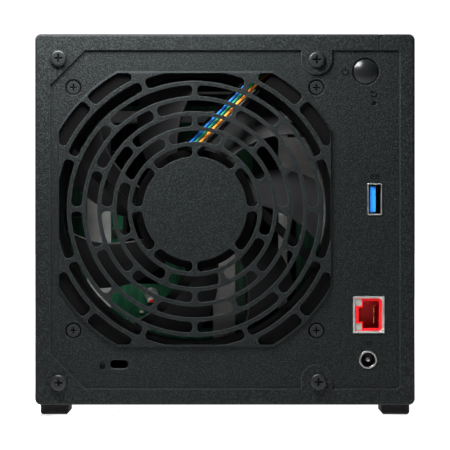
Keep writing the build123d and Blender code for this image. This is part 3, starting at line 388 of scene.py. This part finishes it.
def add_band(bm, outline, width, y0, y1):
    """Closed band of the given width just inside a closed outline of (x, z) points."""
    count = len(outline)
    inner = []
    for index, (x, z) in enumerate(outline):
        before = outline[index - 1]
        after = outline[(index + 1) % count]
        run_in = Vector((x - before[0], z - before[1])).normalized()
        run_out = Vector((after[0] - x, after[1] - z)).normalized()
        across = Vector((-run_in.y - run_out.y, run_in.x + run_out.x)).normalized()
        reach = width / max(0.35, across.dot(Vector((-run_in.y, run_in.x))))
        inner.append((x + across.x * reach, z + across.y * reach))
    loops = []
    for points, y in ((outline, y0), (outline, y1), (inner, y1), (inner, y0)):
        loops.append([bm.verts.new((x, y, z)) for x, z in points])
    for first, second in zip(loops, loops[1:] + loops[:1]):
        for index in range(count):
            after = (index + 1) % count
            bm.faces.new((first[index], second[index], second[after], first[after]))


def add_box(bm, low, high, bevel=0.0):
    """Box between two corners, with rounded edges when a bevel is given."""
    middle = (Vector(low) + Vector(high)) / 2
    size = Vector(high) - Vector(low)
    place = Matrix.Translation(middle) @ Matrix.Diagonal((*size, 1.0))
    made = bmesh.ops.create_cube(bm, size=1.0, matrix=place)
    if bevel:
        edges = {edge for vert in made["verts"] for edge in vert.link_edges}
        bmesh.ops.bevel(bm, geom=list(edges), offset=bevel, segments=2, affect="EDGES", profile=0.5)


def box_in_mm(bm, low, high, bevel=0.0):
    add_box(bm, [value * MM for value in low], [value * MM for value in high], bevel * MM)


def add_turned(bm, profile, origin, steps=28, ring=False):
    """Solid turned about Y from (radius, distance along Y) points, capped unless it is a ring."""
    place = Matrix.Translation(origin) @ Matrix.Rotation(math.radians(-90), 4, "X")
    rings = []
    for radius, along in profile:
        circle = []
        for step in range(steps):
            angle = 2 * math.pi * step / steps
            point = Vector((radius * math.cos(angle), radius * math.sin(angle), along))
            circle.append(bm.verts.new(place @ point))
        rings.append(circle)
    if ring:
        rings.append(rings[0])
    for first, second in zip(rings, rings[1:]):
        for step in range(steps):
            after = (step + 1) % steps
            bm.faces.new((first[step], first[after], second[after], second[step]))
    if not ring:
        bm.faces.new(list(reversed(rings[0])))
        bm.faces.new(rings[-1])


def arc_points(x, z, radius, start, end, steps):
    """Points on an arc, angles in degrees from +X towards +Z."""
    points = []
    for step in range(steps + 1):
        angle = math.radians(start + (end - start) * step / steps)
        points.append((x + radius * math.cos(angle), z + radius * math.sin(angle)))
    return points


def ring_sector(x, z, inner, outer, start, end, steps=24):
    outer_edge = arc_points(x, z, outer, start, end, steps)
    inner_edge = arc_points(x, z, inner, start, end, steps)
    return outer_edge + inner_edge[::-1]


def rectangle(x, z, width, height):
    return [
        (x - width / 2, z - height / 2),
        (x + width / 2, z - height / 2),
        (x + width / 2, z + height / 2),
        (x - width / 2, z + height / 2),
    ]


def in_mm(outline):
    return [(x * MM, z * MM) for x, z in outline]


def rounded_rectangle(x, z, width, height, radius, steps=5):
    points = []
    for sx, sz, start in ((1, 1, 0), (-1, 1, 90), (-1, -1, 180), (1, -1, 270)):
        corner_x = x + sx * (width / 2 - radius)
        corner_z = z + sz * (height / 2 - radius)
        points += arc_points(corner_x, corner_z, radius, start, start + 90, steps)
    return points


# ---------------------------------------------------------------- rear panel details


def opening_outline():
    """Edge of the opening in the rear flange, anticlockwise in X and Z, millimetres."""
    half, low, high, cut = 75.55, 11.8, 158.1, 15.2
    tab_x, tab_r, tab_top, tab_low = -39.6, 6.65, 154.2, 15.7
    points = [(half, low + cut), (half, high - cut), (half - cut, high)]
    points += [(tab_x + tab_r, high)]
    points += arc_points(tab_x, tab_top, tab_r, 0, -180, 20)
    points += [(tab_x - tab_r, high)]
    points += arc_points(-half + 1.8, high - 1.8, 1.8, 90, 180, 6)
    points += arc_points(-half + 1.8, low + 1.8, 1.8, 180, 270, 6)
    points += [(tab_x - tab_r, low)]
    points += arc_points(tab_x, tab_low, tab_r, 180, 0, 20)
    points += [(tab_x + tab_r, low), (half - cut, low)]
    return points


def panel_joint_shadow_strip():
    """Thin black strip where the rear panel meets the folded flange: painted shadow for the shade along
    that joint.
    """
    bm = bmesh.new()
    add_band(bm, in_mm(opening_outline()), 0.32 * MM, PANEL_Y - 0.05 * MM, PANEL_Y + 0.12 * MM)
    new_piece("panel_joint_shadow_strip", mesh_from(bm, "panel_joint_shadow_strip"), "foot_rubber")


def symbol(name, material, outlines, y, toward=1):
    """Printed mark made of flat outlines in millimetres."""
    bm = bmesh.new()
    y0, y1 = sorted((y, y + toward * INK_THICKNESS))
    for outline in outlines:
        add_prism(bm, in_mm(outline), y0, y1)
    new_piece(name, mesh_from(bm, name), material)


def rear_symbols():
    """Generic printed marks beside the power button, reset hole, sockets and lock slot."""
    x, z = -52.0, 148.7
    power = [ring_sector(x, z, 1.15, 1.65, 125, 415), rectangle(x, z + 1.15, 0.5, 1.7)]
    symbol("mark_power", "dark_ink_and_shade", power, PANEL_Y)
    x, z = 53.0, 22.1
    lock = [rounded_rectangle(x, z - 0.7, 2.5, 1.9, 0.3), ring_sector(x, z + 0.25, 0.6, 1.0, 0, 180, 12)]
    symbol("mark_lock", "dark_ink_and_shade", lock, PANEL_Y)
    x, z = -61.8, 31.6
    direct = [rectangle(x, z + 0.45, 3.6, 0.4)]
    direct += [rectangle(x + offset, z - 0.45, 0.9, 0.4) for offset in (-1.35, 0.0, 1.35)]
    symbol("mark_direct_current", "dark_ink_and_shade", direct, PANEL_Y)
    x, z = -64.4, 138.9
    arrow = [ring_sector(x, z, 0.85, 1.25, 60, 350)]
    arrow.append([(x + 0.35, z + 1.7), (x + 1.75, z + 1.3), (x + 0.8, z + 0.35)])
    symbol("mark_reset", "dark_ink_and_shade", arrow, PANEL_Y)
    x, z = -64.7, 103.4
    plug = [rectangle(x, z + 0.75, 3.4, 0.3), rectangle(x, z - 0.75, 3.4, 0.3)]
    plug += [rectangle(x + side * 1.55, z, 0.3, 1.5) for side in (-1, 1)]
    plug += [rectangle(x + side * 0.6, z + 0.1, 0.5, 0.5) for side in (-1, 1)]
    symbol("mark_usb", "dark_ink_and_shade", plug, PANEL_Y)


def fan_screw_countersink_shadows():
    """Thin black rings seated in the countersinks of the four fan screws: painted shadow for the shade in
    each countersink.
    """
    bm = bmesh.new()
    profile = ((2.84, -0.40), (3.52, -0.07), (3.52, -0.13), (2.84, -0.46))
    for x, z in FAN_SCREWS:
        add_turned(bm, in_mm(profile), (x * MM, PANEL_Y, z * MM), steps=36, ring=True)
    new_piece("fan_screw_countersink_shadows", mesh_from(bm, "fan_screw_countersink_shadows"), "dark_ink_and_shade")


def cross_outline(x, z, span):
    """Outline of a cross recess, arms as wide as the screws' own."""
    reach, half = span / 2 - 0.02, span / 8.4 - 0.02
    corners = []
    for turn in range(4):
        angle = math.radians(90 * turn)
        for u, v in ((half, half), (half, reach), (-half, reach)):
            across = u * math.cos(angle) - v * math.sin(angle)
            up = u * math.sin(angle) + v * math.cos(angle)
            corners.append((x + across, z + up))
    return corners


def screw_recess_shadows():
    """Dark crosses at the bottom of the recesses of the cover and fan screws: painted shadow for the shade
    in each cross recess.
    """
    bm = bmesh.new()
    for x, z in COVER_SCREWS:
        add_prism(bm, in_mm(cross_outline(x, z, 3.6)), FLANGE_Y + 1.35 * MM, FLANGE_Y + 1.5 * MM)
    for x, z in FAN_SCREWS:
        add_prism(bm, in_mm(cross_outline(x, z, 3.0)), PANEL_Y - 0.65 * MM, PANEL_Y - 0.5 * MM)
    new_piece("screw_recess_shadows", mesh_from(bm, "screw_recess_shadows"), "dark_ink_and_shade")


def network_socket_trim():
    """Inner lip and corner lands of the shield, and the spring leaves that ground a plug."""
    bm = bmesh.new()
    lip = rounded_rectangle(NETWORK_X - 0.02, NETWORK_Z, 12.4, 14.9, 0.3)
    add_band(bm, in_mm(lip), 0.38 * MM, PANEL_Y + 0.03 * MM, PANEL_Y + 0.33 * MM)
    x0, half, leg = -68.35, 7.5, 1.9
    for side in (-1, 1):
        corner_z = NETWORK_Z + side * half
        land = [(x0, corner_z), (x0 + leg, corner_z), (x0, corner_z - side * leg)]
        add_prism(bm, in_mm(land), PANEL_Y + 0.02 * MM, PANEL_Y + 0.34 * MM)
    for side in (-1, 1):
        for offset in (-3.2, 3.2):
            x = NETWORK_X + offset
            z = NETWORK_Z + side * 8.0
            low = ((x - 1.3) * MM, PANEL_Y - 7.5 * MM, (z - 0.15) * MM)
            high = ((x + 1.3) * MM, PANEL_Y - 1.4 * MM, (z + 0.15) * MM)
            add_box(bm, low, high, 0.08 * MM)
    new_piece("network_shield_trim", mesh_from(bm, "network_shield_trim"), "shield_steel")


def usb_contacts():
    """Contact strips on the two socket tongues."""
    bm = bmesh.new()
    for x, z_mid, y0, y1 in ((-64.4, 93.7, 95.0, 104.6), (-63.7, 76.0, -105.8, -96.5)):
        for index in range(4):
            z = z_mid + (index - 1.5) * 2.4
            box_in_mm(bm, (x - 0.14, y0, z - 0.5), (x + 0.02, y1, z + 0.5), 0.05)
    new_piece("usb_contact_strips", mesh_from(bm, "usb_contact_strips"), "contact_gold")
    # Black liners on the shell walls and a black block at the back of each socket: painted shade that
    # darkens the inside of the sockets.
    bm = bmesh.new()
    for x, z, deep, mouth in ((-64.7, 93.7, 89.0, 105.6), (-64.0, 76.0, -83.0, -107.4)):
        y0, y1 = sorted((deep, mouth))
        for side in (-1, 1):
            wall_x, wall_z = x + side * 2.62, z + side * 6.32
            box_in_mm(bm, (wall_x - 0.07, y0, z - 6.3), (wall_x + 0.07, y1, z + 6.3))
            box_in_mm(bm, (x - 2.5, y0, wall_z - 0.07), (x + 2.5, y1, wall_z + 0.07))
        back0, back1 = sorted((deep, deep + 3.0 * (1 if mouth > deep else -1)))
        box_in_mm(bm, (x - 2.5, back0, z - 6.2), (x + 0.2, back1, z + 6.2), 0.1)
    new_piece("usb_socket_shade_liners", mesh_from(bm, "usb_socket_shade_liners"), "socket_black")


# ---------------------------------------------------------------- board behind the fan


BOARD_FACE = 59.6
BOARD_SCREWS = ((33.2, 51.4), (-52.0, 60.0), (67.0, 60.0))
BOARD_CHIPS = ((45.5, 38.5), (66.5, 88.0), (48.3, 79.0))


def backplane_parts():
    """Parts soldered to the rear face of the drive backplane."""
    bm = bmesh.new()
    screw = ((3.0, 0.0), (3.1, 0.5), (2.9, 0.75), (2.2, 0.75), (2.1, 0.3), (0.02, 0.3))
    for x, z in BOARD_SCREWS:
        add_turned(bm, in_mm(screw), (x * MM, BOARD_FACE * MM, z * MM))
    for x, z in BOARD_CHIPS:
        for pin in range(4):
            pin_x = x - 1.8 + pin * 1.2
            low = (pin_x, BOARD_FACE, z - 2.2)
            box_in_mm(bm, low, (pin_x + 0.45, BOARD_FACE + 0.25, z + 2.2), 0.06)
    new_piece("backplane_metal_parts", mesh_from(bm, "backplane_metal_parts"), "shield_steel")

    bm = bmesh.new()
    for x, z in BOARD_CHIPS:
        low = (x - 2.4, BOARD_FACE + 0.1, z - 1.6)
        box_in_mm(bm, low, (x + 2.4, BOARD_FACE + 1.0, z + 1.6), 0.12)
    box_in_mm(bm, (-12.3, BOARD_FACE, 36), (-9.0, BOARD_FACE + 4.5, 66), 0.4)
    for _ in range(14):
        x = random.uniform(29.5, 49.0)
        z = random.uniform(37.5, 47.0)
        low = (x - 0.5, BOARD_FACE, z - 0.3)
        box_in_mm(bm, low, (x + 0.5, BOARD_FACE + 0.5, z + 0.3), 0.06)
    new_piece("backplane_chips", mesh_from(bm, "backplane_chips"), "chip_black")

    bm = bmesh.new()
    box_in_mm(bm, (32.2, BOARD_FACE, 47.7), (35.0, BOARD_FACE + 1.1, 49.6), 0.15)
    box_in_mm(bm, (36.6, BOARD_FACE, 42.9), (38.4, BOARD_FACE + 1.0, 44.0), 0.15)
    new_piece("backplane_lamp_bodies", mesh_from(bm, "backplane_lamp_bodies"), "plug_white")
    bm = bmesh.new()
    lens = ((0.75, 1.0), (0.75, 1.25), (0.5, 1.6), (0.02, 1.7))
    add_turned(bm, in_mm(lens), (33.2 * MM, BOARD_FACE * MM, 48.4 * MM), 20)
    new_piece("backplane_lamp_lens", mesh_from(bm, "backplane_lamp_lens"), "red_lens")


# ---------------------------------------------------------------- front and underside


STRIP_X = -64.0
STRIP_FACE_Y = -108.2 * MM
LAMP_Z = (150.0, 141.0, 132.0, 123.0, 114.0, 105.0)
BAY_X = (-31.0, -1.0, 29.0, 59.0)


def front_symbols():
    """Marks beside the lamps: status ring, network bars, then one to four bars for the drives."""
    marks = [ring_sector(STRIP_X + 4.6, LAMP_Z[0], 0.7, 1.1, 0, 360)]
    for index in range(3):
        bar_z = LAMP_Z[1] - 0.9 + index * 0.3
        marks.append(rectangle(STRIP_X + 3.8 + index * 0.8, bar_z, 0.5, 0.8 + index * 0.6))
    for drive, z in enumerate(LAMP_Z[2:]):
        for bar in range(drive + 1):
            marks.append(rectangle(STRIP_X + 3.8 + bar * 0.8, z, 0.45, 2.0))
    symbol("front_marks", "pale_ink", marks, STRIP_FACE_Y, toward=-1)
    x, z = STRIP_X, 38.6
    arrow = [rectangle(x, z + 1.0, 0.6, 1.8), [(x - 1.1, z + 0.3), (x + 1.1, z + 0.3), (x, z - 1.0)]]
    arrow.append(rectangle(x, z - 1.6, 3.4, 0.5))
    symbol("backup_mark", "pale_ink", arrow, STRIP_FACE_Y, toward=-1)


def lever_grips():
    """Raised finger ribs in the recess at the free end of every tray lever."""
    for index, x in enumerate(BAY_X):
        bm = bmesh.new()
        for row in range(4):
            z = 37.6 + row * 1.6
            box_in_mm(bm, (x - 5.4, -107.75, z - 0.35), (x + 5.4, -107.5, z + 0.35), 0.1)
        name = f"lever_grip_{index + 1}"
        new_piece(name, mesh_from(bm, name), "foot_rubber", f"lever_{index + 1}")


def underside_label():
    """Blank rating label under the case, with ruled boxes and no lettering."""
    z = 4.9 * MM
    bm = bmesh.new()
    outline = rounded_rectangle(0, 0, 62, 34, 2.0)
    for level in (z - 0.06 * MM, z):
        verts = [bm.verts.new((x * MM, y * MM, level)) for x, y in outline]
        bm.faces.new(verts)
    bm.verts.ensure_lookup_table()
    count = len(outline)
    for index in range(count):
        after = (index + 1) % count
        bm.faces.new((bm.verts[index], bm.verts[after], bm.verts[count + after], bm.verts[count + index]))
    new_piece("rating_label", mesh_from(bm, "rating_label"), "label_film")
    bm = bmesh.new()
    rules = [(-28, 28, 13, 13.3), (-28, 28, -13.3, -13), (-28, -27.7, -13, 13)]
    rules += [(27.7, 28, -13, 13), (-28, 28, 4, 4.3), (-2, -1.7, -13, 4)]
    for x0, x1, y0, y1 in rules:
        add_box(bm, (x0 * MM, y0 * MM, z - 0.08 * MM), (x1 * MM, y1 * MM, z - 0.05 * MM))
    new_piece("rating_label_rules", mesh_from(bm, "rating_label_rules"), "dark_ink_and_shade")


# ---------------------------------------------------------------- studio


def world_light():
    """White behind the object as the camera sees it, dim on the camera's side."""
    world = bpy.data.worlds.new("studio_world")
    bpy.context.scene.world = world
    world.use_nodes = True
    nodes, links = world.node_tree.nodes, world.node_tree.links
    background = nodes["Background"]
    direction = nodes.new("ShaderNodeTexCoord")
    split = nodes.new("ShaderNodeSeparateXYZ")
    links.new(direction.outputs["Generated"], split.inputs[0])
    blend = nodes.new("ShaderNodeMapRange")
    blend.interpolation_type = "SMOOTHSTEP"
    blend.inputs["From Min"].default_value = -0.75
    blend.inputs["From Max"].default_value = 0.35
    blend.inputs["To Min"].default_value = WORLD_BACK
    blend.inputs["To Max"].default_value = WORLD_CAMERA_SIDE
    links.new(split.outputs["Y"], blend.inputs["Value"])
    links.new(blend.outputs["Result"], background.inputs["Strength"])
    background.inputs["Color"].default_value = (1.0, 1.0, 1.0, 1.0)


def paper_floor():
    """White paper sweep under the object. It glows, and the stronger glow under the case is painted light
    that fills the case's contact shadow.
    """
    bm = bmesh.new()
    bmesh.ops.create_grid(bm, x_segments=2, y_segments=2, size=6.0)
    floor = bpy.data.objects.new("floor", mesh_from(bm, "floor"))
    bpy.context.scene.collection.objects.link(floor)
    pale = Shader("floor_paper")
    fibre = pale.noise(300, 3, 0.6)
    pale.bsdf.inputs["Emission Color"].default_value = (1.0, 1.0, 1.0, 1.0)
    shade = pale.mix(fibre, (0.80, 0.80, 0.80), (0.84, 0.84, 0.84))
    split = pale.tree.nodes.new("ShaderNodeSeparateXYZ")
    pale.link(pale.coords, split.inputs[0])
    far = pale.ramp(split.outputs["Y"], 0.0, 1.0, FLOOR_FADE_START, FLOOR_FADE_END)
    shade = pale.mix(far, shade, (0.16, 0.16, 0.16))
    near = pale.ramp(split.outputs["Y"], FLOOR_GLOW_BEHIND, FLOOR_GLOW, 0.09, 0.12)
    fade = pale.ramp(split.outputs["Y"], 1.0, 0.0, FLOOR_FADE_START, FLOOR_FADE_END)
    glow = pale.math("MULTIPLY", near, fade)
    # Glow under the case's footprint: painted light that fills the case's contact shadow on the floor.
    under_x = pale.ramp(pale.math("ABSOLUTE", split.outputs["X"], 0.0), 1.0, 0.0, 0.072, 0.086)
    under_y = pale.ramp(pale.math("ABSOLUTE", split.outputs["Y"], 0.0), FLOOR_GLOW_UNDER, 0.0, 0.100, 0.112)
    glow = pale.math("ADD", glow, pale.math("MULTIPLY", under_x, under_y))
    glow = pale.math("ADD", glow, pale.ramp(split.outputs["Y"], FLOOR_BACK_GLOW, 0.0, -2.4, -0.4))
    pale.link(glow, pale.bsdf.inputs["Emission Strength"])
    floor.data.materials.append(pale.finish(shade, 0.9, pale.bump(fibre, 0.05, 0.0002)))


def area_light(name, position, target, size, power, size_y=None):
    light = bpy.data.lights.new(name, "AREA")
    light.energy = power
    light.size = size
    if size_y:
        light.shape = "RECTANGLE"
        light.size_y = size_y
    lamp = bpy.data.objects.new(name, light)
    lamp.location = position
    lamp.rotation_euler = (Vector(target) - Vector(position)).to_track_quat("-Z", "Y").to_euler()
    bpy.context.scene.collection.objects.link(lamp)


WORLD_BACK = 1.1
WORLD_CAMERA_SIDE = 0.03
FLOOR_GLOW = 0.05
FLOOR_GLOW_BEHIND = 0.5
FLOOR_GLOW_UNDER = 0.6
FLOOR_BACK_GLOW = 0.4
FLOOR_FADE_START = 0.26
FLOOR_FADE_END = 0.50
SUN_POWER = 0.45


def studio():
    """Pale floor, soft light, a near key above the rear and the camera square on to the rear."""
    bpy.context.scene.view_settings.view_transform = "Standard"
    world_light()
    paper_floor()
    area_light("key", (0.075, 0.190, 0.268), (0.03, 0.10, 0.12), 0.16, 2.35, 0.08)
    area_light("front_soft", (-0.6, -1.1, 0.9), (0.0, -0.1, 0.08), 0.9, 22.0)
    sun = bpy.data.lights.new("overhead", "SUN")
    sun.energy = SUN_POWER
    sun.angle = math.radians(12)
    overhead = bpy.data.objects.new("overhead", sun)
    overhead.rotation_euler = (math.radians(-4), math.radians(6), 0)
    bpy.context.scene.collection.objects.link(overhead)

    lens = 200.0
    sensor = 36.0
    view_width = 0.1942
    eye_z = 0.08256
    camera_data = bpy.data.cameras.new("camera")
    camera_data.lens = lens
    camera_data.sensor_width = sensor
    camera_data.clip_end = 50.0
    camera = bpy.data.objects.new("camera", camera_data)
    camera.location = (0.0, FLANGE_Y + view_width * lens / sensor, eye_z)
    camera.rotation_euler = (math.radians(90), 0, math.radians(180))
    bpy.context.scene.collection.objects.link(camera)
    bpy.context.scene.camera = camera


# ---------------------------------------------------------------- build

studio()
dress_cad_nodes()
panel_joint_shadow_strip()
rear_symbols()
fan_screw_countersink_shadows()
screw_recess_shadows()
network_socket_trim()
usb_contacts()
backplane_parts()
front_symbols()
lever_grips()
underside_label()
